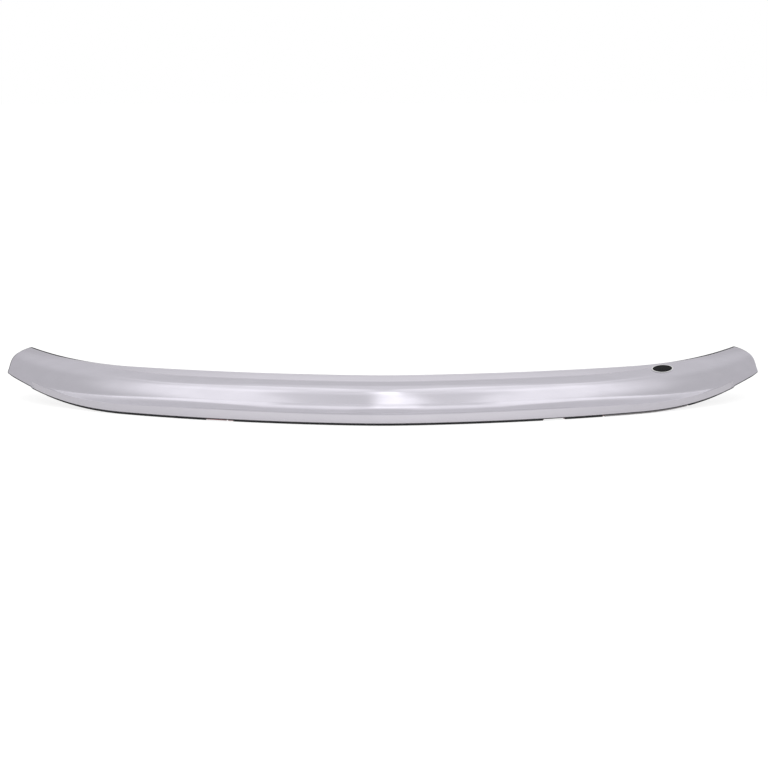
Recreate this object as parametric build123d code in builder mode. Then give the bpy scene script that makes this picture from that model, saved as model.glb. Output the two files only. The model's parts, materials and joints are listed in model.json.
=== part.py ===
import os
from math import cos, sin

from build123d import *

# Hood bug deflector in millimetres: a thin chrome shell that wraps a hood's front edge,
# stuck on by foam tape behind its two flanges. +X runs across the vehicle, -Y points
# forward and +Z up. The origin lies at the middle of the tape's lower edge, on the
# front curve. A place on the shell is given by its run, the length along the front
# curve from the middle (left is negative), and its girth, the length up the section.

# Front curve, seen from above: a soft keel, the front and a rounder corner
keel_radius = 640.0
keel_half_length = 40.0
front_radius = 1890.0
front_end_run = 560.0
corner_radius = 1250.0
tip_run = 792.0

# Section, seen from the side: a round hood edge that the flanges lie on
section_radius = 107.0
wall = 3.0
tape_show = 3.5
top_girth = 103.0
top_dip = 3.0
top_dip_run = 520.0

# Rise of both edges toward the tips
rise_length = 286.0
rise_power = 2.2
tape_edge_rise = 60.0
lower_edge_rise = 53.5
top_edge_rise = 32.5

# Crowned face between the two flanges
lower_flange_width = 21.5
lower_flange_tip_width = 11.0
upper_flange_width = 16.5
upper_flange_tip_width = 5.0
upper_flange_fade = (400.0, 640.0)
crown_height = 9.0
crown_tip_height = 4.0
crown_fade = (350.0, 680.0)
crease_softness = 0.12

# Tip outline: the clipped end of the lower lip, the slope under the tip and the rounded end
lip_end_inset = 76.0
lip_clip_length = 10.0
lip_end_height = 28.5
lip_clip_rise = 6.5
tip_corner_height = 53.0
tip_top_height = 99.5
tip_corner_fillet = 5.0
tip_top_fillet_share = 0.56

# Foam tape and its release liner
tape_width = 10.0
tape_thickness = 1.6
liner_thickness = 0.3
bond_gap = 0.15
tape_depth = wall + bond_gap
liner_depth = tape_depth + tape_thickness + bond_gap
liner_edge_inset = 0.6
upper_tape_inset = 2.0
end_tape_inset = 22.0
end_tape_length = 120.0
end_tape_clearance = 26.0
pull_tab_length = 14.0

# Where the lengths of tape and liner start and end, as shares of the lip's or the shell's half length
lower_tape_shares = ((-0.96, -0.478), (-0.402, 0.432), (0.493, 0.601), (0.607, 0.855), (0.86, 0.973))
lower_liner_shares = ((-0.963, -0.421), (-0.418, 0.435), (0.49, 0.976))
upper_tape_shares = ((-0.506, -0.272), (-0.24, -0.015), (0.015, 0.24), (0.272, 0.506))

# Badge: a small oval plate with a raised rim, on the right of the upper face
badge_run = 569.0
badge_edge_distance = 14.8
badge_length = 46.0
badge_height = 20.0
badge_thickness = 1.6
badge_rim_width = 1.8
badge_rim_rise = 0.5
badge_patch_margin = 3.0

# How closely the sections and their points follow the formulas
section_spacing = 40.0
strip_section_spacing = 20.0
badge_section_spacing = 10.0
cut_reach = 2 * tip_top_height
crown_stops = (-0.04, 0.0, 0.035, 0.1, 0.3, 0.5, 0.7, 0.9, 0.965, 1.0, 1.04)
strip_stops = (0.0, 0.5, 1.0)
badge_stops = (0.0, 0.25, 0.5, 0.75, 1.0)

os.makedirs("parts", exist_ok=True)


# Front curve and section


def front_point(run):
    """Place and heading, in radians, of a run along the front curve."""
    arcs = (
        (keel_radius, keel_half_length),
        (front_radius, front_end_run - keel_half_length),
        (corner_radius, tip_run),
    )
    side = -1 if run < 0 else 1
    x, y, heading, left = 0.0, 0.0, 0.0, abs(run)
    for radius, length in arcs:
        turned = heading + min(left, length) / radius
        x += radius * (sin(turned) - sin(heading))
        y += radius * (cos(heading) - cos(turned))
        heading = turned
        left -= min(left, length)
    return side * x, y, side * heading


def section_plane(run):
    """Plane square to the front curve: its x points back into the hood and its y up."""
    x, y, heading = front_point(run)
    back = (-sin(heading), cos(heading), 0)
    along = (cos(heading), sin(heading), 0)
    return Plane(origin=(x, y, 0), x_dir=back, z_dir=along)


def section_point(girth, radius):
    """Point of a section at a girth, on a circle of this radius about the hood edge's centre."""
    angle = girth / section_radius
    return section_radius - radius * cos(angle), radius * sin(angle)


def ease(run, span):
    """Smooth step from 0 at the span's start to 1 at its end."""
    start, end = span
    share = min(max((abs(run) - start) / (end - start), 0.0), 1.0)
    return share * share * (3 - 2 * share)


def rise(run, height):
    """Rise toward the tip, which begins where the front starts to turn up."""
    share = max(abs(run) - tip_run + rise_length, 0.0) / rise_length
    return height * share**rise_power


# Edges and creases of the shell, as girths


def tape_edge(run):
    return rise(run, tape_edge_rise)


def lower_edge(run):
    return tape_show + rise(run, lower_edge_rise)


def upper_edge(run):
    dip = top_dip * min(abs(run) / top_dip_run, 1.0) ** 2
    return top_girth - dip + rise(run, top_edge_rise)


def lower_crease(run):
    taper = (lower_flange_width - lower_flange_tip_width) * (run / tip_run) ** 2
    return lower_edge(run) + lower_flange_width - taper


def upper_crease(run):
    taper = (upper_flange_width - upper_flange_tip_width) * ease(run, upper_flange_fade)
    return upper_edge(run) - upper_flange_width + taper


def skin_radius(run, girth):
    """Radius of the outer skin: the hood edge's circle, with the crowned face standing on it."""
    height = crown_height - (crown_height - crown_tip_height) * ease(run, crown_fade)
    low, high = lower_crease(run), upper_crease(run)
    share = (girth - low) / (high - low)
    arch = 1 - (2 * share - 1) ** 2
    return section_radius + height * (arch + (arch**2 + crease_softness**2) ** 0.5) / 2


def skin_points(run, girths, depth):
    """Points of a section that lie this deep under the outer skin."""
    return [section_point(girth, skin_radius(run, girth) - depth) for girth in girths]


def between(start, end, shares):
    return [start + (end - start) * share for share in shares]


def stations(start, end, spacing):
    """Runs from the start to the end: steps counted from the middle, clear of both ends."""
    first = int(start // spacing)
    last = int(end // spacing) + 1
    steps = [spacing * count for count in range(first, last + 1)]
    return [start] + [run for run in steps if start + spacing / 2 < run < end - spacing / 2] + [end]


def skin_curve(run, start, end, stops, depth):
    """Curve under the skin, knotted at the same stops in every section so that lofts stay light."""
    points = skin_points(run, between(start, end, stops), depth)
    return Edge.make_spline([Vector(*point) for point in points], parameters=stops)


def layer_section(run, bands, outer_depth, inner_depth):
    """Closed profile between two depths under the skin; a band is its two girths and its stops."""
    with BuildSketch(section_plane(run)) as section:
        with BuildLine():
            outer = [add(skin_curve(run, *band, outer_depth)).edge() for band in bands]
            inner = [add(skin_curve(run, *band, inner_depth)).edge() for band in bands]
            Line(outer[0] @ 0, inner[0] @ 0)
            Line(outer[-1] @ 1, inner[-1] @ 1)
        make_face()
    return section.sketch


def shell_bands(run):
    """Bands of a shell section: the lower flange, the crown with both creases, the upper flange."""
    low, high = lower_crease(run), upper_crease(run)
    crown_start, crown_end = between(low, high, (crown_stops[0], crown_stops[-1]))
    return (
        (lower_edge(run), crown_start, strip_stops),
        (low, high, crown_stops),
        (crown_end, upper_edge(run), strip_stops),
    )


# Strips behind the shell


def upper_tape_edge(run):
    return upper_edge(run) - upper_tape_inset - tape_width


def end_tape_edge(run):
    return upper_edge(run) - end_tape_inset - tape_width


def lower_liner_edge(run):
    return tape_edge(run) + liner_edge_inset


def strip_sections(runs, edge, width, depth, thickness):
    """Sections of a strip that starts at an edge's girth and lies at a depth under the skin."""
    sections = []
    for run in runs:
        band = (edge(run), edge(run) + width, strip_stops)
        sections.append(layer_section(run, [band], depth, depth + thickness))
    return sections


def strip_runs(shares, half_length):
    """Runs of a strip's sections, from the shares of a half length where it starts and ends."""
    start, end = shares
    return stations(start * half_length, end * half_length, strip_section_spacing)


def end_tape_runs(side):
    """Runs of the sections of a tip's tape."""
    outer = tip_run - end_tape_clearance
    return stations(*sorted((side * (outer - end_tape_length), side * outer)), strip_section_spacing)


def with_tab(runs):
    """Runs of a liner: its tape's runs, and the end of a tab on the side nearer the tip."""
    if runs[-1] > 0:
        return runs + [runs[-1] + pull_tab_length]
    return [runs[0] - pull_tab_length] + runs


def save(builder, name):
    """Name a finished piece and write it to its file."""
    builder.part.label = name
    export_step(builder.part, f"parts/{name}.step")


# Shield: one chrome shell, lofted through its sections and trimmed at both tips


def facing_plane(run):
    """Plane that touches the front curve and faces forward: its x runs along it and its y up."""
    x, y, heading = front_point(run)
    return Plane(origin=(x, y, 0), x_dir=(cos(heading), sin(heading), 0), z_dir=(sin(heading), -cos(heading), 0))


def tip_waste(side):
    """What is cut away beyond a tip: below the clipped lip, past the end and over its top."""
    lip_end = tip_run - lip_end_inset

    def place(run, height):
        return side * (run - tip_run), height

    corner = place(tip_run, tip_corner_height)
    crown = place(tip_run, tip_top_height)
    outline = (
        place(lip_end, -cut_reach),
        place(lip_end, lip_end_height),
        place(lip_end + lip_clip_length, lip_end_height + lip_clip_rise),
        corner,
        crown,
        place(lip_end, tip_top_height),
        place(lip_end, cut_reach),
        place(tip_run + cut_reach, cut_reach),
        place(tip_run + cut_reach, -cut_reach),
    )
    top_fillet = tip_top_fillet_share * (tip_top_height - tip_corner_height)
    with BuildSketch(facing_plane(side * tip_run)) as waste:
        with BuildLine():
            Polyline(*outline, close=True)
        make_face()
        for centre, radius in ((corner, tip_corner_fillet), (crown, top_fillet)):
            fillet(waste.vertices().sort_by_distance((*centre, 0))[0], radius)
    return waste.sketch


with BuildPart() as shield:
    loft([layer_section(run, shell_bands(run), 0, wall) for run in stations(-tip_run, tip_run, section_spacing)])
    for side in (-1, 1):
        extrude(tip_waste(side), amount=cut_reach, both=True, mode=Mode.SUBTRACT)

save(shield, "shield")


# Foam tape: lengths behind the lower flange, the upper flange and each tip

for number, shares in enumerate(lower_tape_shares, start=1):
    runs = strip_runs(shares, tip_run - lip_end_inset)
    with BuildPart() as lower_tape:
        loft(strip_sections(runs, tape_edge, tape_width, tape_depth, tape_thickness))
    save(lower_tape, f"lower_tape_{number}")

for number, shares in enumerate(upper_tape_shares, start=1):
    with BuildPart() as upper_tape:
        loft(strip_sections(strip_runs(shares, tip_run), upper_tape_edge, tape_width, tape_depth, tape_thickness))
    save(upper_tape, f"upper_tape_{number}")

for name, side in (("left", -1), ("right", 1)):
    with BuildPart() as end_tape:
        loft(strip_sections(end_tape_runs(side), end_tape_edge, tape_width, tape_depth, tape_thickness))
    save(end_tape, f"end_tape_{name}")


# Release liners: films on the back of the tape, with a bare tab to pull at one end

for number, shares in enumerate(lower_liner_shares, start=1):
    runs = strip_runs(shares, tip_run - lip_end_inset)
    with BuildPart() as lower_liner:
        loft(strip_sections(runs, lower_liner_edge, tape_width - liner_edge_inset, liner_depth, liner_thickness))
    save(lower_liner, f"lower_liner_{number}")

for number, shares in enumerate(upper_tape_shares, start=1):
    runs = with_tab(strip_runs(shares, tip_run))
    with BuildPart() as upper_liner:
        loft(strip_sections(runs, upper_tape_edge, tape_width, liner_depth, liner_thickness))
    save(upper_liner, f"upper_liner_{number}")

for name, side in (("left", -1), ("right", 1)):
    with BuildPart() as end_liner:
        loft(strip_sections(with_tab(end_tape_runs(side)), end_tape_edge, tape_width, liner_depth, liner_thickness))
    save(end_liner, f"end_liner_{name}")


# Badge: a blank oval that follows the skin, with a raised rim


def badge_plane():
    """Plane on the skin under the badge's middle, facing out, with its x along the shell."""
    section = section_plane(badge_run)
    badge_girth = upper_edge(badge_run) - badge_edge_distance
    angle = badge_girth / section_radius
    outward = section.x_dir * -cos(angle) + Vector(0, 0, 1) * sin(angle)
    middle = section.from_local_coords(Vector(*section_point(badge_girth, skin_radius(badge_run, badge_girth))))
    return Plane(origin=middle, x_dir=section.z_dir, z_dir=outward)


def badge_layer(bottom, top):
    """Patch of skin, a little larger than the badge, between two heights above the shell."""
    half_length = badge_length / 2 + badge_patch_margin
    half_height = badge_height / 2 + badge_patch_margin
    middle = upper_edge(badge_run) - badge_edge_distance
    band = (middle - half_height, middle + half_height, badge_stops)
    runs = stations(badge_run - half_length, badge_run + half_length, badge_section_spacing)
    return [layer_section(run, [band], -top, -bottom) for run in runs]


def badge_oval(inset):
    """Oval outline of the badge, moved in by this much."""
    with BuildSketch(badge_plane()) as oval:
        Ellipse(badge_length / 2 - inset, badge_height / 2 - inset)
    return oval.sketch


with BuildPart() as badge_field:
    loft(badge_layer(bond_gap + badge_thickness - badge_rim_rise, bond_gap + badge_thickness + badge_rim_rise))
    extrude(badge_oval(badge_rim_width), amount=badge_height, both=True, mode=Mode.INTERSECT)

with BuildPart() as badge:
    loft(badge_layer(bond_gap, bond_gap + badge_thickness))
    extrude(badge_oval(0), amount=badge_height, both=True, mode=Mode.INTERSECT)
    add(badge_field.part, mode=Mode.SUBTRACT)

save(badge, "badge")
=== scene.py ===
# Hood bug deflector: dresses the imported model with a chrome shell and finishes, and lights it.
import json
from math import asin, atan2, cos, pi, radians, sin, sqrt, tan

import bmesh
import bpy
from mathutils import Matrix, Vector


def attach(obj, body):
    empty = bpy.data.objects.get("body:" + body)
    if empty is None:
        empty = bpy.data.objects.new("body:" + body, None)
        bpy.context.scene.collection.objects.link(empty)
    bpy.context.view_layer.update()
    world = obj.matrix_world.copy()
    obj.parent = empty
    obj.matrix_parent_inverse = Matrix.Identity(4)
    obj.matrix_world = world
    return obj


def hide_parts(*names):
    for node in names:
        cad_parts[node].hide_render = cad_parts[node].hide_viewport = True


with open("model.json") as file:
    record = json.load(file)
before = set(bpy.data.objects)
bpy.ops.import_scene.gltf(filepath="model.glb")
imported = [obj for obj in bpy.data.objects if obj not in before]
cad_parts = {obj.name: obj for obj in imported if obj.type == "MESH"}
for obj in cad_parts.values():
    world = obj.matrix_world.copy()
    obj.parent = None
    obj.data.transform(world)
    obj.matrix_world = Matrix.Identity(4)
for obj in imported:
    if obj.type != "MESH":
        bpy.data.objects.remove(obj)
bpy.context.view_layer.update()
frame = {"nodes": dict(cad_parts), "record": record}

bl_info = {
    "name": "Hood Bug Deflector",
    "version": (1, 0, 0),
    "blender": (4, 5, 0),
    "location": "View3D > Sidebar > Deflector",
    "description": "Builds the chrome shell of a hood bug deflector, finishes its parts and sets the studio",
    "category": "Object",
}

MM = 0.001

# Front curve, seen from above, and the round hood edge under the shell
KEEL_RADIUS = 640 * MM
KEEL_HALF_LENGTH = 40 * MM
FRONT_RADIUS = 1890 * MM
FRONT_END_RUN = 560 * MM
CORNER_RADIUS = 1250 * MM
TIP_RUN = 792 * MM
HOOD_EDGE_RADIUS = 107 * MM

# Edges and creases of the shell
LIP_EDGE_GIRTH = 3.5 * MM
TOP_EDGE_GIRTH = 103 * MM
TOP_DIP = 3 * MM
TOP_DIP_RUN = 520 * MM
RISE_LENGTH = 286 * MM
RISE_POWER = 2.2
LIP_RISE = 53.5 * MM
TOP_RISE = 32.5 * MM
LOWER_FLANGE_WIDTH = 21.5 * MM
LOWER_FLANGE_TIP_WIDTH = 11 * MM
UPPER_FLANGE_WIDTH = 16.5 * MM
UPPER_FLANGE_TIP_WIDTH = 5 * MM
UPPER_FLANGE_FADE = (400 * MM, 640 * MM)
CROWN_FADE = (350 * MM, 680 * MM)

# Outline of a tip: the clip of the lip's end, the slope under the tip and the rounded end
LIP_CLIP = (716 * MM, 28.5 * MM)
SLOPE_START = (726 * MM, 35 * MM)
TIP_CORNER = (792 * MM, 53 * MM)
TIP_CORNER_RADIUS = 5 * MM
TIP_TOP_HEIGHT = 99.5 * MM
TIP_TOP_RADIUS = 26 * MM
CORNER_TURN = radians(45)

# Bare plastic along the cut edge: the lip's, which is partly painted shadow for the thin dark line under the
# lip, and the top's, which widens from nearly nothing past its start
LIP_TRIM = 1.8 * MM
TOP_TRIM = 3.0 * MM
TOP_TRIM_LEAST = 0.1
TOP_TRIM_START = 590 * MM
TOP_TRIM_TAPER = 100 * MM

# Satin plating of the flanges, and the strip under the lower crease darkened with painted shade, widest in
# the middle
FLANGE_END = 725 * MM
CREASE_MARGIN = 0.1 * MM
UPPER_SATIN_SHARE = 0.5
SATIN_ROUGHNESS = 0.36
SHADE_WIDTH = 4.5 * MM
SHADE_END_RUN = 380 * MM
SHADE_FADE = 1.5 * MM
SHADE_TONE = 0.70

# Grid of the shell: runs where the columns change their spacing, with the columns up to there, and the rows
# of the lip's trim, the lower flange, the crown, the upper flange and the top's trim
SPREAD_RUN = 600 * MM
COLUMN_STEPS = ((600 * MM, 134), (720 * MM, 44), (728 * MM, 5), (790.4 * MM, 40), (792 * MM, 1))
CROWN_ROWS = 42
ROW_BANDS = (1, 12, CROWN_ROWS, 10, 1)

# Badge: where it sits, its size, and where its pale edge starts, as a share of the way out
BADGE_RUN = 569 * MM
BADGE_EDGE_DISTANCE = 14.8 * MM
BADGE_HALF_LENGTH = 23 * MM
BADGE_HALF_HEIGHT = 10 * MM
BADGE_RING = (0.90, 0.92)

# Studio that the chrome mirrors, in degrees round from straight ahead and up from the horizon. Each pair is
# where a soft edge starts and ends, and two pairs are the two edges of a band.
MIDDLE_HEIGHT_GAIN, MIDDLE_HEIGHT = 0.09, (45.0, 54.0)
TOP_HEIGHT_GAIN, TOP_HEIGHT = 0.12, (72.0, 76.0)
FRONT_SIDES = (26.0, 48.0)
FRONT_LEAN = 0.5
FILL_TOP = (58.0, 66.0)
PANEL_HEIGHTS = ((-3.0, 1.0), (73.0, 80.0))
STRIP_SIDES = (84.0, 92.0)
STRIP_HEIGHTS = ((58.0, 66.0), (79.0, 84.0))
PATCH_SIDES = ((-6.0, 1.0), (8.5, 11.8))
PATCH_HEIGHTS = ((-6.0, -4.0), (64.0, 70.0))

# Hole in the large panel: its middle and half height, its half width as a share, its soft edge, how much
# darker it is in its middle, and how far the panel and the strip dip straight ahead
HOLE_MIDDLE = 25.5
HOLE_HALF_HEIGHT = 41.0
HOLE_HALF_WIDTH = 0.32
HOLE_EDGE = (0.8, 1.25)
HOLE_DEPTH, HOLE_DEPTH_EDGE = -0.07, (0.0, 0.6)
DIP, DIP_SIDES = 9.0, (4.0, 15.0)

# Painted light on the floor that the chrome mirrors, by the distance ahead of the front curve and to the side
# of the middle
FLOOR_SIZE = 8.0
FLOOR_SEEN = 0.72
OPEN_FLOOR = (0.27, 0.37)
OPEN_FLOOR_START = (50 * MM, 150 * MM)
FLOOR_PANEL_GAIN = 0.02
FLOOR_PANEL_START = (32 * MM, 70 * MM)
FLOOR_PANEL_LAG_SIDE = 250 * MM
FLOOR_PANEL_LAG = 0.40
FLOOR_DIP, FLOOR_DIP_SIDES = 22 * MM, (20 * MM, 90 * MM)
FLOOR_OUTER_SPREAD, FLOOR_OUTER_SIDES = 0.9, (380 * MM, 580 * MM)
FLOOR_INNER_SPREAD, FLOOR_INNER_SIDES = 0.35, (170 * MM, 240 * MM)
FLOOR_STRIP_END = (110 * MM, 190 * MM)
FLOOR_PATCH_START = (75 * MM, 110 * MM)
FLOOR_PATCH_LEFT_SPREAD, FLOOR_PATCH_LEFT = 0.05, (-35 * MM, -10 * MM)
FLOOR_PATCH_RIGHT_SPREAD, FLOOR_PATCH_RIGHT = 0.16, (60 * MM, 85 * MM)

# Point that the camera looks at
CAMERA_TARGET = (2.4 * MM, 0.0, 81.9 * MM)


# Front curve and skin


def front_point(run):
    """Place and heading, in radians, of a run along the front curve."""
    arcs = (
        (KEEL_RADIUS, KEEL_HALF_LENGTH),
        (FRONT_RADIUS, FRONT_END_RUN - KEEL_HALF_LENGTH),
        (CORNER_RADIUS, TIP_RUN),
    )
    side = -1 if run < 0 else 1
    x, y, heading, left = 0.0, 0.0, 0.0, abs(run)
    for radius, length in arcs:
        turned = heading + min(left, length) / radius
        x += radius * (sin(turned) - sin(heading))
        y += radius * (cos(heading) - cos(turned))
        heading = turned
        left -= min(left, length)
    return side * x, y, side * heading


def ease(run, span):
    """Smooth step from 0 at the span's start to 1 at its end."""
    start, end = span
    share = min(max((abs(run) - start) / (end - start), 0.0), 1.0)
    return share * share * (3 - 2 * share)


def rise(run, height):
    """Rise toward the tip, which begins where the front starts to turn up."""
    share = max(abs(run) - TIP_RUN + RISE_LENGTH, 0.0) / RISE_LENGTH
    return height * share**RISE_POWER


def lower_edge(run):
    return LIP_EDGE_GIRTH + rise(run, LIP_RISE)


def upper_edge(run):
    dip = TOP_DIP * min(abs(run) / TOP_DIP_RUN, 1.0) ** 2
    return TOP_EDGE_GIRTH - dip + rise(run, TOP_RISE)


def lower_crease(run):
    taper = (LOWER_FLANGE_WIDTH - LOWER_FLANGE_TIP_WIDTH) * (run / TIP_RUN) ** 2
    return lower_edge(run) + LOWER_FLANGE_WIDTH - taper


def upper_crease(run):
    taper = (UPPER_FLANGE_WIDTH - UPPER_FLANGE_TIP_WIDTH) * ease(run, UPPER_FLANGE_FADE)
    return upper_edge(run) - UPPER_FLANGE_WIDTH + taper


def skin_radius(run, girth, shell):
    """Radius of the outer skin: the hood edge's circle, with the crowned face standing on it."""
    height = shell.crown_height - (shell.crown_height - shell.crown_tip_height) * ease(run, CROWN_FADE)
    low, high = lower_crease(run), upper_crease(run)
    arch = 1 - (2 * (girth - low) / (high - low) - 1) ** 2
    return HOOD_EDGE_RADIUS + height * (arch + sqrt(arch**2 + shell.crease_softness**2)) / 2


def skin_place(run, girth, shell):
    """Point of the outer skin."""
    x, y, heading = front_point(run)
    angle = girth / HOOD_EDGE_RADIUS
    radius = skin_radius(run, girth, shell)
    back = HOOD_EDGE_RADIUS - radius * cos(angle)
    return Vector((x - back * sin(heading), y + back * cos(heading), radius * sin(angle)))


def girth_at_height(run, height, shell):
    """Girth at which the skin reaches a height."""
    girth = height
    for _ in range(5):
        girth = HOOD_EDGE_RADIUS * asin(height / skin_radius(run, girth, shell))
    return girth


# Outline of the shell


def line_height(run, start, slope):
    return start[1] + (run - start[0]) * slope


def lip_cut_height(run):
    """Height under which the tip is cut away: the clip, then the slope, halfway round the tip's corner."""
    clip_slope = (SLOPE_START[1] - LIP_CLIP[1]) / (SLOPE_START[0] - LIP_CLIP[0])
    tip_slope = (TIP_CORNER[1] - SLOPE_START[1]) / (TIP_CORNER[0] - SLOPE_START[0])
    lean = atan2(tip_slope, 1.0)
    tangent = TIP_CORNER_RADIUS * tan((pi / 2 - lean) / 2)
    round_start = TIP_CORNER[0] - tangent * cos(lean)
    if run > round_start:
        centre = (TIP_CORNER[0] - TIP_CORNER_RADIUS, TIP_CORNER[1] + tangent)
        past = min(run, centre[0] + TIP_CORNER_RADIUS * sin(CORNER_TURN)) - centre[0]
        return centre[1] - sqrt(TIP_CORNER_RADIUS**2 - past**2)
    return min(line_height(run, LIP_CLIP, clip_slope), line_height(run, SLOPE_START, tip_slope))


def top_cut_height(run):
    """Height over which the tip is cut away, as far as halfway round its top corner."""
    centre = TIP_RUN - TIP_TOP_RADIUS
    past = min(max(run - centre, 0.0), TIP_TOP_RADIUS * sin(CORNER_TURN))
    return TIP_TOP_HEIGHT - TIP_TOP_RADIUS + sqrt(TIP_TOP_RADIUS**2 - past**2)


def end_run_at(height):
    """Run at which the tip ends, at a height: round its lower corner, up and round its top corner."""
    tip_slope = (TIP_CORNER[1] - SLOPE_START[1]) / (TIP_CORNER[0] - SLOPE_START[0])
    lower = TIP_CORNER[1] + TIP_CORNER_RADIUS * tan((pi / 2 - atan2(tip_slope, 1.0)) / 2)
    upper = TIP_TOP_HEIGHT - TIP_TOP_RADIUS
    if height < lower:
        return TIP_RUN - TIP_CORNER_RADIUS + sqrt(TIP_CORNER_RADIUS**2 - (lower - height) ** 2)
    if height > upper:
        return TIP_RUN - TIP_TOP_RADIUS + sqrt(TIP_TOP_RADIUS**2 - (height - upper) ** 2)
    return TIP_RUN


def bottom_girth(run, shell):
    cut = lip_cut_height(abs(run))
    return max(lower_edge(run), girth_at_height(run, cut, shell)) if cut > 0 else lower_edge(run)


def top_girth(run, shell):
    return min(upper_edge(run), girth_at_height(run, top_cut_height(abs(run)), shell))


def row_share(run, row):
    """Share of the height at which a row of the grid lies: rows follow both creases."""
    low, high = lower_edge(run), upper_edge(run)
    top_trim = TOP_TRIM * min(1.0, max(TOP_TRIM_LEAST, (run - TOP_TRIM_START) / TOP_TRIM_TAPER))
    marks = (low, low + LIP_TRIM, lower_crease(run), upper_crease(run), high - top_trim, high)
    for start, end, rows in zip(marks, marks[1:], ROW_BANDS):
        if row <= rows:
            share = row / rows
            if rows == CROWN_ROWS:
                share = (share + (1 - cos(pi * share)) / 2) / 2
            return (start + (end - start) * share - low) / (high - low)
        row -= rows
    raise ValueError("the grid has fewer rows")


def column_runs():
    """Runs of the grid's columns, from the left tip to the right one."""
    runs = [0.0]
    for end, count in COLUMN_STEPS:
        start = runs[-1]
        runs += [start + (end - start) * step / count for step in range(1, count + 1)]
    return [-run for run in runs[:0:-1]] + runs


def satin_share(run, girth):
    """How satin the plating is: the lower flange up to its slanted end, and half as much the upper flange."""
    below = lower_crease(run) - girth
    if below > CREASE_MARGIN and run + below < FLANGE_END:
        return 1.0
    return UPPER_SATIN_SHARE if girth > upper_crease(run) else 0.0


def crease_shade(run, girth):
    """How far the strip just under the lower crease is darkened with painted shade, widest in the middle."""
    below = lower_crease(run) - girth
    width = SHADE_WIDTH * max(0.0, 1.0 - (run / SHADE_END_RUN) ** 2)
    if below < -CREASE_MARGIN:
        return 0.0
    return min(1.0, max(0.0, (width - below) / SHADE_FADE))


def grid_place(column_run, row, shell):
    """Place of a vertex of the grid, its satin and its shade. The columns fan out to meet the tip's end."""
    side = -1 if column_run < 0 else 1
    run = abs(column_run)
    if run > SPREAD_RUN:
        low, high = lip_cut_height(TIP_RUN), top_cut_height(TIP_RUN)
        end_height = low + (high - low) * row_share(TIP_RUN, row)
        run = SPREAD_RUN + (run - SPREAD_RUN) * (end_run_at(end_height) - SPREAD_RUN) / (TIP_RUN - SPREAD_RUN)
    low, high = bottom_girth(run, shell), top_girth(run, shell)
    girth = low + (high - low) * row_share(run, row)
    return skin_place(side * run, girth, shell), satin_share(run, girth), crease_shade(run, girth)


# Materials


def new_material(name):
    """An empty node material with its shader and its pattern coordinates."""
    material = bpy.data.materials.new(name)
    material.use_nodes = True
    tree = material.node_tree
    shader = tree.nodes["Principled BSDF"]
    coords = tree.nodes.new("ShaderNodeTexCoord")
    return material, tree, shader, coords.outputs["Object"]


def noise(tree, vector, scale, detail=2.0, stretch=None):
    """Noise over the piece's own coordinates, stretched along an axis where that is asked for."""
    if stretch:
        mapping = tree.nodes.new("ShaderNodeMapping")
        mapping.inputs["Scale"].default_value = stretch
        tree.links.new(vector, mapping.inputs["Vector"])
        vector = mapping.outputs["Vector"]
    texture = tree.nodes.new("ShaderNodeTexNoise")
    texture.inputs["Scale"].default_value = scale
    texture.inputs["Detail"].default_value = detail
    tree.links.new(vector, texture.inputs["Vector"])
    return texture.outputs["Fac"]


def spread(tree, value, low, high, start=0.3, end=0.7, interpolation="LINEAR"):
    """Maps a value from one range to another."""
    ramp = tree.nodes.new("ShaderNodeMapRange")
    ramp.interpolation_type = interpolation
    ramp.inputs["From Min"].default_value = start
    ramp.inputs["From Max"].default_value = end
    ramp.inputs["To Min"].default_value = low
    ramp.inputs["To Max"].default_value = high
    tree.links.new(value, ramp.inputs["Value"])
    return ramp.outputs["Result"]


def blend_colors(tree, share, first, second):
    """Colour between two, by a share; each is a colour or a socket."""
    mix = tree.nodes.new("ShaderNodeMix")
    mix.data_type = "RGBA"
    tree.links.new(share, mix.inputs["Factor"])
    for socket, color in ((mix.inputs["A"], first), (mix.inputs["B"], second)):
        if isinstance(color, bpy.types.NodeSocket):
            tree.links.new(color, socket)
        else:
            socket.default_value = (*color, 1.0)
    return mix.outputs["Result"]


def bump(tree, shader, height, strength, distance):
    """Fine relief on a surface."""
    node = tree.nodes.new("ShaderNodeBump")
    node.inputs["Strength"].default_value = strength
    node.inputs["Distance"].default_value = distance
    tree.links.new(height, node.inputs["Height"])
    tree.links.new(node.outputs["Normal"], shader.inputs["Normal"])


def calculate(tree, operation, first, second=None):
    """One sum of two values; each is a number or a socket."""
    node = tree.nodes.new("ShaderNodeMath")
    node.operation = operation
    for socket, value in zip(node.inputs, (first, second)):
        if isinstance(value, bpy.types.NodeSocket):
            tree.links.new(value, socket)
        elif value is not None:
            socket.default_value = value
    return node.outputs[0]


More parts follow.
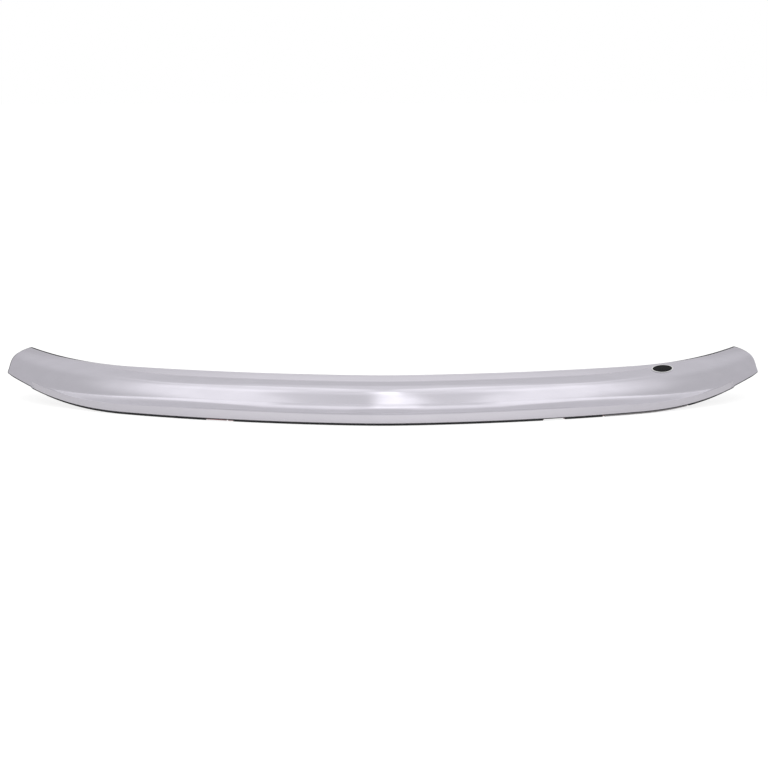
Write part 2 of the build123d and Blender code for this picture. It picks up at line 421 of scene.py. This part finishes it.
def chrome_material(colors):
    """Bright plating: polished, with faint wiping marks and the slight waviness of plated plastic."""
    material, tree, shader, coords = new_material("bright_chrome")
    shader.inputs["Metallic"].default_value = 1.0
    wiping = noise(tree, coords, 60.0, 3.0, (0.25, 1.0, 1.0))
    grain = noise(tree, coords, 900.0, 1.0)
    satin = tree.nodes.new("ShaderNodeAttribute")
    satin.attribute_name = "satin"
    haze = calculate(tree, "ADD", spread(tree, wiping, 0.10, 0.15), spread(tree, grain, 0.0, 0.025))
    dulling = calculate(tree, "MULTIPLY", satin.outputs["Fac"], SATIN_ROUGHNESS)
    tree.links.new(calculate(tree, "ADD", haze, dulling), shader.inputs["Roughness"])
    base = tuple(colors.chrome)
    dulled = tuple(channel * 0.96 for channel in base)
    wiped = blend_colors(tree, spread(tree, wiping, 0.0, 1.0), base, dulled)
    brushed = blend_colors(tree, satin.outputs["Fac"], wiped, tuple(colors.satin_chrome))
    # Painted shade: the strip just under the lower crease blends toward a darker copy of the plating's colour
    shade = tree.nodes.new("ShaderNodeAttribute")
    shade.attribute_name = "crease_shade"
    shadow = tuple(channel * SHADE_TONE for channel in base)
    shaded = blend_colors(tree, shade.outputs["Fac"], brushed, shadow)
    tree.links.new(shaded, shader.inputs["Base Color"])
    bump(tree, shader, noise(tree, coords, 28.0, 1.0), 0.05, 0.0004)
    return material


def raw_plastic_material(colors):
    """Black moulded plastic of the shell's back and cut edge; along the lip it is partly painted shadow."""
    material, tree, shader, coords = new_material("black_shell_plastic")
    cloud = noise(tree, coords, 35.0, 4.0)
    base = tuple(colors.raw_plastic)
    worn = tuple(channel * 1.35 for channel in base)
    tree.links.new(blend_colors(tree, spread(tree, cloud, 0.0, 1.0), base, worn), shader.inputs["Base Color"])
    tree.links.new(spread(tree, cloud, 0.32, 0.46), shader.inputs["Roughness"])
    bump(tree, shader, noise(tree, coords, 1400.0, 2.0), 0.15, 0.0002)
    return material


def foam_material(name, color):
    """Closed-cell foam: fine cells that catch light, on a dull body."""
    material, tree, shader, coords = new_material(name)
    cells = tree.nodes.new("ShaderNodeTexVoronoi")
    cells.inputs["Scale"].default_value = 1600.0
    tree.links.new(coords, cells.inputs["Vector"])
    base = tuple(color)
    lit = tuple(min(channel * 1.3 + 0.01, 1.0) for channel in base)
    shade = spread(tree, cells.outputs["Distance"], 0.0, 1.0, 0.1, 0.6)
    tree.links.new(blend_colors(tree, shade, base, lit), shader.inputs["Base Color"])
    tree.links.new(spread(tree, noise(tree, coords, 200.0), 0.78, 0.92), shader.inputs["Roughness"])
    bump(tree, shader, cells.outputs["Distance"], 0.5, 0.0003)
    return material


def liner_material(colors):
    """Red release film: thin, glossy, a little see-through and slightly wrinkled."""
    material, tree, shader, coords = new_material("red_release_film")
    cloud = noise(tree, coords, 25.0, 3.0)
    base = tuple(colors.liner)
    deep = tuple(channel * 0.75 for channel in base)
    tree.links.new(blend_colors(tree, spread(tree, cloud, 0.0, 1.0), base, deep), shader.inputs["Base Color"])
    tree.links.new(spread(tree, cloud, 0.18, 0.3), shader.inputs["Roughness"])
    shader.inputs["Transmission Weight"].default_value = 0.5
    shader.inputs["IOR"].default_value = 1.45
    bump(tree, shader, noise(tree, coords, 90.0, 2.0, (0.3, 1.0, 1.0)), 0.2, 0.0004)
    return material


def badge_material(colors, shell):
    """Gloss black badge with a pale edge."""
    material, tree, shader, coords = new_material("badge_gloss")
    girth = upper_edge(BADGE_RUN) - BADGE_EDGE_DISTANCE
    centre = skin_place(BADGE_RUN, girth, shell)
    heading = front_point(BADGE_RUN)[2]
    along = Vector((cos(heading), sin(heading), 0.0))
    angle = girth / HOOD_EDGE_RADIUS
    outward = Vector((sin(heading) * cos(angle), -cos(heading) * cos(angle), sin(angle)))
    turn = Matrix((along, outward.cross(along), outward)).transposed()
    mapping = tree.nodes.new("ShaderNodeMapping")
    mapping.vector_type = "TEXTURE"
    mapping.inputs["Location"].default_value = centre
    mapping.inputs["Rotation"].default_value = turn.to_euler()
    mapping.inputs["Scale"].default_value = (BADGE_HALF_LENGTH, BADGE_HALF_HEIGHT, 1.0)
    tree.links.new(coords, mapping.inputs["Vector"])
    split = tree.nodes.new("ShaderNodeSeparateXYZ")
    tree.links.new(mapping.outputs["Vector"], split.inputs["Vector"])
    across = calculate(tree, "POWER", split.outputs["X"], 2.0)
    upward = calculate(tree, "POWER", split.outputs["Y"], 2.0)
    reach = calculate(tree, "SQRT", calculate(tree, "ADD", across, upward))
    ring = spread(tree, reach, 0.0, 1.0, *BADGE_RING)
    mottle = noise(tree, coords, 400.0, 2.0)
    field = blend_colors(tree, spread(tree, mottle, 0.0, 1.0), (0.006, 0.006, 0.007), (0.012, 0.012, 0.014))
    tree.links.new(blend_colors(tree, ring, field, tuple(colors.badge_ring)), shader.inputs["Base Color"])
    tree.links.new(spread(tree, mottle, 0.22, 0.3), shader.inputs["Roughness"])
    shader.inputs["Specular IOR Level"].default_value = 0.2
    return material


# Studio


def soft_band(tree, value, start, end):
    """1 between two soft stretches of a value, and 0 outside them."""
    up = spread(tree, value, 0.0, 1.0, *start, "SMOOTHSTEP")
    down = spread(tree, value, 1.0, 0.0, *end, "SMOOTHSTEP")
    return calculate(tree, "MULTIPLY", up, down)


def studio_world(studio):
    """Pale studio: a large soft panel with an oval hole, a narrow one in the hole, and an overhead strip."""
    world = bpy.data.worlds.new("studio")
    world.use_nodes = True
    tree = world.node_tree
    background = tree.nodes["Background"]
    coords = tree.nodes.new("ShaderNodeTexCoord")
    split = tree.nodes.new("ShaderNodeSeparateXYZ")
    tree.links.new(coords.outputs["Generated"], split.inputs["Vector"])
    toward_camera = calculate(tree, "MULTIPLY", split.outputs["Y"], -1.0)
    azimuth = calculate(tree, "DEGREES", calculate(tree, "ARCTAN2", split.outputs["X"], toward_camera))
    elevation = calculate(tree, "DEGREES", calculate(tree, "ARCSINE", split.outputs["Z"]))
    side = calculate(tree, "ABSOLUTE", azimuth)

    # The surround is brighter toward the top
    middle_height = spread(tree, elevation, 0.0, MIDDLE_HEIGHT_GAIN, *MIDDLE_HEIGHT)
    top_height = spread(tree, elevation, 0.0, TOP_HEIGHT_GAIN, *TOP_HEIGHT)
    surround = calculate(tree, "ADD", studio.surround, calculate(tree, "ADD", middle_height, top_height))

    # The front fill and the panel fade to the sides, and the panel has an oval hole
    leaned_side = calculate(tree, "SUBTRACT", side, calculate(tree, "MULTIPLY", elevation, FRONT_LEAN))
    front = spread(tree, leaned_side, 1.0, 0.0, *FRONT_SIDES, "SMOOTHSTEP")
    fill = calculate(tree, "MULTIPLY", front, spread(tree, elevation, studio.front_fill, 0.0, *FILL_TOP))
    across = calculate(tree, "POWER", calculate(tree, "DIVIDE", split.outputs["X"], HOLE_HALF_WIDTH), 2.0)
    dip = spread(tree, side, DIP, 0.0, *DIP_SIDES, "SMOOTHSTEP")
    dipped = calculate(tree, "ADD", elevation, dip)
    from_middle = calculate(tree, "ABSOLUTE", calculate(tree, "SUBTRACT", dipped, HOLE_MIDDLE))
    upward = calculate(tree, "POWER", calculate(tree, "DIVIDE", from_middle, HOLE_HALF_HEIGHT), 4.0)
    reach = calculate(tree, "ADD", across, upward)
    hole = spread(tree, reach, 0.0, 1.0, *HOLE_EDGE, "SMOOTHSTEP")
    depth = calculate(tree, "MULTIPLY", front, spread(tree, reach, HOLE_DEPTH, 0.0, *HOLE_DEPTH_EDGE))
    panel = calculate(tree, "MULTIPLY", front, soft_band(tree, dipped, *PANEL_HEIGHTS))
    before = spread(tree, side, 1.0, 0.0, *STRIP_SIDES, "SMOOTHSTEP")
    strip = calculate(tree, "MULTIPLY", before, soft_band(tree, dipped, *STRIP_HEIGHTS))
    holed = calculate(tree, "MULTIPLY", calculate(tree, "MAXIMUM", panel, strip), hole)
    panels = calculate(tree, "ADD", calculate(tree, "MULTIPLY", holed, studio.panels), depth)

    # The narrow panel straight ahead
    patch = soft_band(tree, azimuth, *PATCH_SIDES)
    patch = calculate(tree, "MULTIPLY", patch, soft_band(tree, elevation, *PATCH_HEIGHTS))
    patch = calculate(tree, "MULTIPLY", patch, studio.middle_panel)

    # The camera sees plain white
    wide = calculate(tree, "ADD", surround, fill)
    strength = calculate(tree, "ADD", wide, calculate(tree, "ADD", panels, patch))
    light_path = tree.nodes.new("ShaderNodeLightPath")
    seen = tree.nodes.new("ShaderNodeMix")
    tree.links.new(light_path.outputs["Is Camera Ray"], seen.inputs["Factor"])
    tree.links.new(strength, seen.inputs["A"])
    seen.inputs["B"].default_value = 1.0
    tree.links.new(seen.outputs["Result"], background.inputs["Strength"])
    background.inputs["Color"].default_value = (1.0, 1.0, 1.0, 1.0)
    return world


def floor_material(studio):
    """White floor that keeps the object's shadow. What the chrome mirrors of it is painted light, glowing as
    the panels do.
    """
    material, tree, shader, coords = new_material("studio_floor")
    shader.inputs["Roughness"].default_value = 0.9
    shader.inputs["Specular IOR Level"].default_value = 0.1
    mottle = noise(tree, coords, 3.0, 2.0)
    color = blend_colors(tree, spread(tree, mottle, 0.0, 1.0), (0.50, 0.50, 0.50), (0.51, 0.51, 0.51))
    tree.links.new(color, shader.inputs["Base Color"])

    # Places on the floor, by how far ahead of the front curve they lie and how far to the side
    split = tree.nodes.new("ShaderNodeSeparateXYZ")
    tree.links.new(coords, split.inputs["Vector"])
    sag = calculate(tree, "DIVIDE", calculate(tree, "POWER", split.outputs["X"], 2.0), 2 * FRONT_RADIUS)
    ahead = calculate(tree, "SUBTRACT", sag, split.outputs["Y"])
    side = calculate(tree, "ABSOLUTE", split.outputs["X"])

    # The large panel goes on down the floor, past a strip, on each side of its hole
    past_middle = calculate(tree, "MAXIMUM", calculate(tree, "SUBTRACT", side, FLOOR_PANEL_LAG_SIDE), 0.0)
    shifted = calculate(tree, "SUBTRACT", ahead, calculate(tree, "MULTIPLY", past_middle, FLOOR_PANEL_LAG))
    dip = spread(tree, side, FLOOR_DIP, 0.0, *FLOOR_DIP_SIDES, "SMOOTHSTEP")
    shifted = calculate(tree, "SUBTRACT", shifted, dip)
    panels = spread(tree, shifted, 0.0, studio.panels + FLOOR_PANEL_GAIN, *FLOOR_PANEL_START, "SMOOTHSTEP")
    outer = calculate(tree, "SUBTRACT", side, calculate(tree, "MULTIPLY", ahead, FLOOR_OUTER_SPREAD))
    outer_fade = spread(tree, outer, 1.0, 0.0, *FLOOR_OUTER_SIDES, "SMOOTHSTEP")
    panels = calculate(tree, "MULTIPLY", panels, outer_fade)
    strip = spread(tree, ahead, 1.0, 0.0, *FLOOR_STRIP_END, "SMOOTHSTEP")
    inner = calculate(tree, "SUBTRACT", side, calculate(tree, "MULTIPLY", ahead, FLOOR_INNER_SPREAD))
    beside = spread(tree, inner, 0.0, 1.0, *FLOOR_INNER_SIDES, "SMOOTHSTEP")
    panels = calculate(tree, "MULTIPLY", panels, calculate(tree, "MAXIMUM", strip, beside))

    # So does the narrow panel straight ahead
    across = split.outputs["X"]
    left_lean = calculate(tree, "MULTIPLY", ahead, FLOOR_PATCH_LEFT_SPREAD)
    left_edge = spread(tree, calculate(tree, "ADD", across, left_lean), 0.0, 1.0, *FLOOR_PATCH_LEFT)
    right_lean = calculate(tree, "MULTIPLY", ahead, FLOOR_PATCH_RIGHT_SPREAD)
    right_edge = spread(tree, calculate(tree, "SUBTRACT", across, right_lean), 1.0, 0.0, *FLOOR_PATCH_RIGHT)
    patch = calculate(tree, "MULTIPLY", left_edge, right_edge)
    patch_start = spread(tree, ahead, 0.0, studio.floor_patch, *FLOOR_PATCH_START, "SMOOTHSTEP")
    patch = calculate(tree, "MULTIPLY", patch, patch_start)

    # Painted light seen only in the chrome: the open floor glows more dimly close in front of the object
    open_floor = spread(tree, ahead, *OPEN_FLOOR, *OPEN_FLOOR_START, "SMOOTHSTEP")
    mirrored = calculate(tree, "ADD", open_floor, calculate(tree, "ADD", panels, patch))
    light_path = tree.nodes.new("ShaderNodeLightPath")
    seen = calculate(tree, "MULTIPLY", light_path.outputs["Is Camera Ray"], FLOOR_SEEN)
    mirrored = calculate(tree, "MULTIPLY", light_path.outputs["Is Glossy Ray"], mirrored)
    shader.inputs["Emission Color"].default_value = (1.0, 1.0, 1.0, 1.0)
    tree.links.new(calculate(tree, "ADD", seen, mirrored), shader.inputs["Emission Strength"])
    return material


# Settings that a user would change


class ShellSettings(bpy.types.PropertyGroup):
    wall: bpy.props.FloatProperty(
        name="Wall",
        description="Thickness of the shell's wall",
        default=3 * MM,
        min=1 * MM,
        max=3.4 * MM,
        unit="LENGTH",
    )
    crown_height: bpy.props.FloatProperty(
        name="Crown height",
        description="How far the crowned face stands off the flanges in the middle",
        default=9 * MM,
        min=0.0,
        max=9 * MM,
        unit="LENGTH",
    )
    crown_tip_height: bpy.props.FloatProperty(
        name="Crown height at the tips",
        description="How far the crowned face stands off the flanges at the tips",
        default=4 * MM,
        min=0.0,
        max=4 * MM,
        unit="LENGTH",
    )
    crease_softness: bpy.props.FloatProperty(
        name="Crease softness",
        description="How softly the crowned face turns into the flanges",
        default=0.12,
        min=0.02,
        max=0.4,
        subtype="FACTOR",
    )
    edge_rounding: bpy.props.FloatProperty(
        name="Edge rounding",
        description="Width of the rounding along the shell's cut edge",
        default=0.35 * MM,
        min=0.05 * MM,
        max=1 * MM,
        unit="LENGTH",
    )


class FinishSettings(bpy.types.PropertyGroup):
    chrome: bpy.props.FloatVectorProperty(
        name="Chrome",
        description="Colour of the plating",
        default=(0.805, 0.78, 0.855),
        subtype="COLOR",
        min=0,
        max=1,
    )
    satin_chrome: bpy.props.FloatVectorProperty(
        name="Satin chrome",
        description="Colour of the flanges' plating",
        default=(0.755, 0.73, 0.785),
        subtype="COLOR",
        min=0,
        max=1,
    )
    raw_plastic: bpy.props.FloatVectorProperty(
        name="Shell back",
        description="Colour of the shell's back",
        default=(0.02, 0.02, 0.022),
        subtype="COLOR",
        min=0,
        max=1,
    )
    black_foam: bpy.props.FloatVectorProperty(
        name="Black foam",
        description="Colour of the foam tape",
        default=(0.03, 0.03, 0.032),
        subtype="COLOR",
        min=0,
        max=1,
    )
    pale_foam: bpy.props.FloatVectorProperty(
        name="Pale foam",
        description="Colour of the pale length of tape",
        default=(0.40, 0.38, 0.39),
        subtype="COLOR",
        min=0,
        max=1,
    )
    liner: bpy.props.FloatVectorProperty(
        name="Liner",
        description="Colour of the release film",
        default=(0.85, 0.50, 0.52),
        subtype="COLOR",
        min=0,
        max=1,
    )
    badge_ring: bpy.props.FloatVectorProperty(
        name="Badge ring",
        description="Colour of the badge's pale edge",
        default=(0.93, 0.93, 0.93),
        subtype="COLOR",
        min=0,
        max=1,
    )


class StudioSettings(bpy.types.PropertyGroup):
    surround: bpy.props.FloatProperty(
        name="Surround",
        description="Brightness of the studio round the object",
        default=0.56,
        min=0.0,
        max=2.0,
    )
    front_fill: bpy.props.FloatProperty(
        name="Front fill",
        description="Extra brightness of the studio in front of the object",
        default=0.17,
        min=0.0,
        max=2.0,
    )
    panels: bpy.props.FloatProperty(
        name="Panels",
        description="Extra brightness of the large panel and the overhead strip",
        default=0.28,
        min=0.0,
        max=2.0,
    )
    middle_panel: bpy.props.FloatProperty(
        name="Middle panel",
        description="Extra brightness of the narrow panel behind the camera",
        default=0.64,
        min=0.0,
        max=3.0,
    )
    floor_patch: bpy.props.FloatProperty(
        name="Floor patch",
        description="Extra brightness of the floor before the middle, as the chrome mirrors it",
        default=0.30,
        min=0.0,
        max=2.0,
    )
    camera_distance: bpy.props.FloatProperty(
        name="Camera distance",
        description="From the camera to the object",
        default=3.2,
        min=1.0,
        unit="LENGTH",
    )
    camera_elevation: bpy.props.FloatProperty(
        name="Camera elevation",
        description="How high the camera looks down from",
        default=radians(13.6),
        subtype="ANGLE",
    )
    camera_roll: bpy.props.FloatProperty(
        name="Camera roll",
        description="How far the camera leans to one side",
        default=radians(-0.06),
        subtype="ANGLE",
    )
    lens: bpy.props.FloatProperty(
        name="Lens",
        description="Focal length",
        default=80.0,
        min=10.0,
        unit="CAMERA",
    )


# Operators, one for each piece or group of like pieces


class DEFLECTOR_OT_shell(bpy.types.Operator):
    """Build the chrome shell and put it in the place of its CAD solid"""

    bl_idname = "deflector.shell"
    bl_label = "Chrome shell"

    def execute(self, context):
        shell = context.scene.deflector_shell
        colors = context.scene.deflector_finish
        runs = column_runs()
        columns, rows = len(runs) - 1, sum(ROW_BANDS)
        bm = bmesh.new()
        bmesh.ops.create_grid(bm, x_segments=columns, y_segments=rows, size=0.5)
        for face in bm.faces:
            place = face.calc_center_median() + Vector((0.5, 0.5, 0.0))
            column, row = int(place.x * columns), int(place.y * rows)
            at_top = row == rows - 1 and abs(runs[column]) > TOP_TRIM_START
            # The lip's row of black plastic is partly the cut edge and partly painted shadow, the thin dark
            # line under the lip
            face.material_index = 1 if row == 0 or column == 0 or at_top else 0
            face.smooth = True
        satin = bm.verts.layers.float.new("satin")
        shade = bm.verts.layers.float.new("crease_shade")
        for vert in bm.verts:
            column = round((vert.co.x + 0.5) * columns)
            row = round((vert.co.y + 0.5) * rows)
            vert.co, vert[satin], vert[shade] = grid_place(runs[column], row, shell)
        mesh = bpy.data.meshes.new("chrome_shell")
        bm.to_mesh(mesh)
        bm.free()
        mesh.materials.append(chrome_material(colors))
        mesh.materials.append(raw_plastic_material(colors))
        piece = bpy.data.objects.new("chrome_shell", mesh)
        context.scene.collection.objects.link(piece)
        wall = piece.modifiers.new("wall", "SOLIDIFY")
        wall.thickness = shell.wall
        wall.offset = -1.0
        wall.use_even_offset = True
        wall.material_offset = 1
        wall.material_offset_rim = 1
        rounding = piece.modifiers.new("edge_rounding", "BEVEL")
        rounding.width = shell.edge_rounding
        rounding.segments = 2
        rounding.limit_method = "ANGLE"
        rounding.angle_limit = radians(50)
        rounding.use_clamp_overlap = False
        rounding.harden_normals = True
        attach(piece, "root")
        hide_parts("shield")
        return {"FINISHED"}


def dress(names, material):
    """Give CAD nodes a material."""
    for name in names:
        node = frame["nodes"].get(name)
        if node is None:
            raise RuntimeError(f"the packed model has no node {name}")
        node.data.materials.clear()
        node.data.materials.append(material)


def nodes_in_slot(slot):
    return [part["node"] for part in frame["record"]["subparts"] if part["material_slot"] == slot]


class DEFLECTOR_OT_tapes(bpy.types.Operator):
    """Finish the lengths of foam tape"""

    bl_idname = "deflector.tapes"
    bl_label = "Foam tapes"

    def execute(self, context):
        colors = context.scene.deflector_finish
        dress(nodes_in_slot("foam_tape"), foam_material("black_foam", colors.black_foam))
        dress(nodes_in_slot("pale_tape"), foam_material("pale_foam", colors.pale_foam))
        return {"FINISHED"}


class DEFLECTOR_OT_liners(bpy.types.Operator):
    """Finish the release liners on the back of the tapes"""

    bl_idname = "deflector.liners"
    bl_label = "Release liners"

    def execute(self, context):
        dress(nodes_in_slot("liner"), liner_material(context.scene.deflector_finish))
        return {"FINISHED"}


class DEFLECTOR_OT_badge(bpy.types.Operator):
    """Finish the blank oval badge"""

    bl_idname = "deflector.badge"
    bl_label = "Badge"

    def execute(self, context):
        scene = context.scene
        dress(["badge"], badge_material(scene.deflector_finish, scene.deflector_shell))
        return {"FINISHED"}


class DEFLECTOR_OT_stage(bpy.types.Operator):
    """Set the floor, the light and the camera"""

    bl_idname = "deflector.stage"
    bl_label = "Stage"

    def execute(self, context):
        scene = context.scene
        studio = scene.deflector_studio
        bm = bmesh.new()
        bmesh.ops.create_grid(bm, x_segments=8, y_segments=8, size=FLOOR_SIZE)
        mesh = bpy.data.meshes.new("floor")
        bm.to_mesh(mesh)
        bm.free()
        mesh.materials.append(floor_material(studio))
        floor = bpy.data.objects.new("floor", mesh)
        scene.collection.objects.link(floor)
        scene.world = studio_world(studio)

        camera = bpy.data.objects.new("camera", bpy.data.cameras.new("camera"))
        scene.collection.objects.link(camera)
        camera.data.lens = studio.lens
        camera.data.sensor_width = 36.0
        target = Vector(CAMERA_TARGET)
        down = studio.camera_elevation
        ahead = Vector((0.0, cos(down), -sin(down)))
        right = Vector((1.0, 0.0, 0.0))
        up = right.cross(ahead)
        roll = studio.camera_roll
        right, up = right * cos(roll) + up * sin(roll), up * cos(roll) - right * sin(roll)
        turn = Matrix((right, up, -ahead)).transposed().to_4x4()
        camera.matrix_world = Matrix.Translation(target - ahead * studio.camera_distance) @ turn
        scene.camera = camera

        scene.view_settings.view_transform = "Standard"
        return {"FINISHED"}


class DEFLECTOR_PT_panel(bpy.types.Panel):
    """Builds the deflector piece by piece"""

    bl_idname = "DEFLECTOR_PT_panel"
    bl_label = "Hood bug deflector"
    bl_space_type = "VIEW_3D"
    bl_region_type = "UI"
    bl_category = "Deflector"

    def draw(self, context):
        scene = context.scene
        for title, settings in (
            ("Shell", scene.deflector_shell),
            ("Finishes", scene.deflector_finish),
            ("Studio", scene.deflector_studio),
        ):
            box = self.layout.box()
            box.label(text=title)
            for name in settings.bl_rna.properties.keys():
                if name not in {"rna_type", "name"}:
                    box.prop(settings, name)
        for operator in OPERATORS:
            self.layout.operator(operator.bl_idname)


SETTINGS = {
    "deflector_shell": ShellSettings,
    "deflector_finish": FinishSettings,
    "deflector_studio": StudioSettings,
}
OPERATORS = (
    DEFLECTOR_OT_stage,
    DEFLECTOR_OT_shell,
    DEFLECTOR_OT_tapes,
    DEFLECTOR_OT_liners,
    DEFLECTOR_OT_badge,
)


def register():
    for name, group in SETTINGS.items():
        bpy.utils.register_class(group)
        setattr(bpy.types.Scene, name, bpy.props.PointerProperty(type=group))
    for cls in (*OPERATORS, DEFLECTOR_PT_panel):
        bpy.utils.register_class(cls)


def unregister():
    for cls in (DEFLECTOR_PT_panel, *reversed(OPERATORS)):
        bpy.utils.unregister_class(cls)
    for name, group in SETTINGS.items():
        delattr(bpy.types.Scene, name)
        bpy.utils.unregister_class(group)


def main():
    register()
    bpy.ops.deflector.stage()
    bpy.ops.deflector.shell()
    bpy.ops.deflector.tapes()
    bpy.ops.deflector.liners()
    bpy.ops.deflector.badge()


if __name__ == "__main__":
    main()
